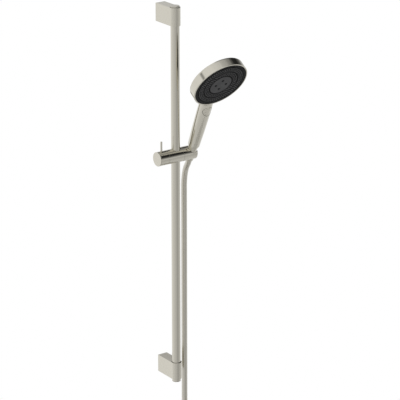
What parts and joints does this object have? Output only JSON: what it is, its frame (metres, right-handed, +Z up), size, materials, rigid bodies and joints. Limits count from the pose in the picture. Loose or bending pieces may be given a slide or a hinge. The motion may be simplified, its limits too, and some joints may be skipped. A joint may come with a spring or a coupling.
{
  "type": "shower rail set",
  "caption": "Round wall rail on two D-shaped brackets, with a lever-clamped slider, a conical holder, a handset with a large round spray head, and a smooth hose.",
  "frame": {"origin": "centre of the lower bracket's wall plate, on the wall", "axes": "+Z up along the rail, +Y into the wall, +X along the wall towards the handset's side"},
  "size_m": [0.171, 0.2319, 1.3757],
  "materials": {
    "nickel_plated_metal": "warm nickel plating, softly polished",
    "nickel_plated_plastic": "plastic with the same warm nickel plating",
    "satin_plated_plastic": "plastic with satin nickel plating",
    "brass_plated": "nickel-plated brass",
    "steel": "plain stainless steel",
    "brass": "turned brass",
    "zinc": "die-cast zinc, as cast",
    "white_plastic": "moulded, matt",
    "black_rubber": "moulded, matt",
    "graphite_plastic": "dark grey, matt",
    "slate_plastic": "dark grey, satin",
    "hose_skin": "smooth metal-effect plastic sleeve",
    "strap": "black strap"
  },
  "bodies": {
    "rail": {"rail_tube": "nickel_plated_metal", "lower_rail_plug": "nickel_plated_plastic", "upper_rail_plug": "nickel_plated_plastic", "lower_bracket": "nickel_plated_metal", "upper_bracket": "nickel_plated_metal", "lower_bushing": "black_rubber", "upper_bushing": "black_rubber", "lower_wall_plate": "zinc", "upper_wall_plate": "zinc", "lower_grub_screw": "steel", "upper_grub_screw": "steel"},
    "carriage": {"slider_liner": "graphite_plastic"},
    "slider": {"slider_body": "nickel_plated_metal", "brake_shoe": "white_plastic", "pivot_screw": "steel", "pivot_washer": "white_plastic", "friction_ring": "black_rubber"},
    "lever": {"clamp_knob": "nickel_plated_metal", "knob_end_cap": "nickel_plated_metal", "lever_pin": "nickel_plated_metal", "clamp_spindle": "steel"},
    "holder": {"holder_barrel": "nickel_plated_metal"},
    "hose_end": {"hose_stem": "brass", "hose_bend_tube": "hose_skin"},
    "handset": {"conical_nut": "nickel_plated_metal", "hose_washer": "black_rubber", "handset_shell": "nickel_plated_plastic", "inlet_nipple": "brass", "nipple_seal": "black_rubber", "flow_limiter": "white_plastic", "inlet_tube": "white_plastic", "selector_housing": "white_plastic", "water_housing": "white_plastic", "housing_seal": "black_rubber", "distribution_plate": "white_plastic", "nozzle_mat": "black_rubber", "spray_face": "graphite_plastic", "centre_plate": "slate_plastic", "face_screw": "steel"},
    "button": {"select_button": "satin_plated_plastic", "selector_plunger": "white_plastic", "button_spring": "steel"},
    "hose": {"hose_tube": "hose_skin", "hose_hank": "hose_skin", "hose_tie": "strap", "wall_end_ferrule": "brass_plated"},
    "wall_nut": {"wall_nut": "brass_plated", "wall_nut_washer": "black_rubber"}
  },
  "joints": [
    {"name": "slider_slide", "type": "slide", "parent": "rail", "child": "carriage", "axis": [0, 0, 1], "range_m": [-0.526, 0.306]},
    {"name": "slider_swivel", "type": "hinge", "parent": "carriage", "child": "slider", "pos_m": [0, -0.0633, 0.5724], "axis": [0, 0, 1], "range_deg": [-60, 15]},
    {"name": "clamp_lever", "type": "hinge", "parent": "slider", "child": "lever", "pos_m": [-0.042, -0.0633, 0.5724], "axis": [1, 0, 0], "range_deg": [0, 90]},
    {"name": "holder_tilt", "type": "hinge", "parent": "slider", "child": "holder", "pos_m": [0.02, -0.0633, 0.5724], "axis": [1, 0, 0], "range_deg": [-8, 25]},
    {"name": "handset_lift", "type": "slide", "parent": "holder", "child": "hose_end", "axis": [0, -0.4019, 0.9157], "range_m": [0, 0.045]},
    {"name": "handset_turn", "type": "hinge", "parent": "hose_end", "child": "handset", "pos_m": [0.044, -0.0677, 0.5724], "axis": [0, -0.4019, 0.9157], "range_deg": [-45, 45]},
    {"name": "button_press", "type": "slide", "parent": "handset", "child": "button", "axis": [0, 0.9157, 0.4019], "range_m": [0, 0.0025], "stiffness_N_per_m": 1500, "springref_m": -0.001, "deforming": ["button_spring"]},
    {"name": "hose_bend", "type": "hinge", "parent": "hose_end", "child": "hose", "pos_m": [0.044, -0.0455, 0.526], "axis": [1, 0, 0], "range_deg": [-25, 8], "deforming": ["hose_bend_tube"]},
    {"name": "wall_nut_spin", "type": "hinge", "parent": "hose", "child": "wall_nut", "pos_m": [0.0595, -0.036, -0.4186], "axis": [0, 0, 1], "continuous": true}
  ],
  "couplings": [
    {"joint": "hose_bend", "follows": "holder_tilt", "ratio": -1}
  ]
}
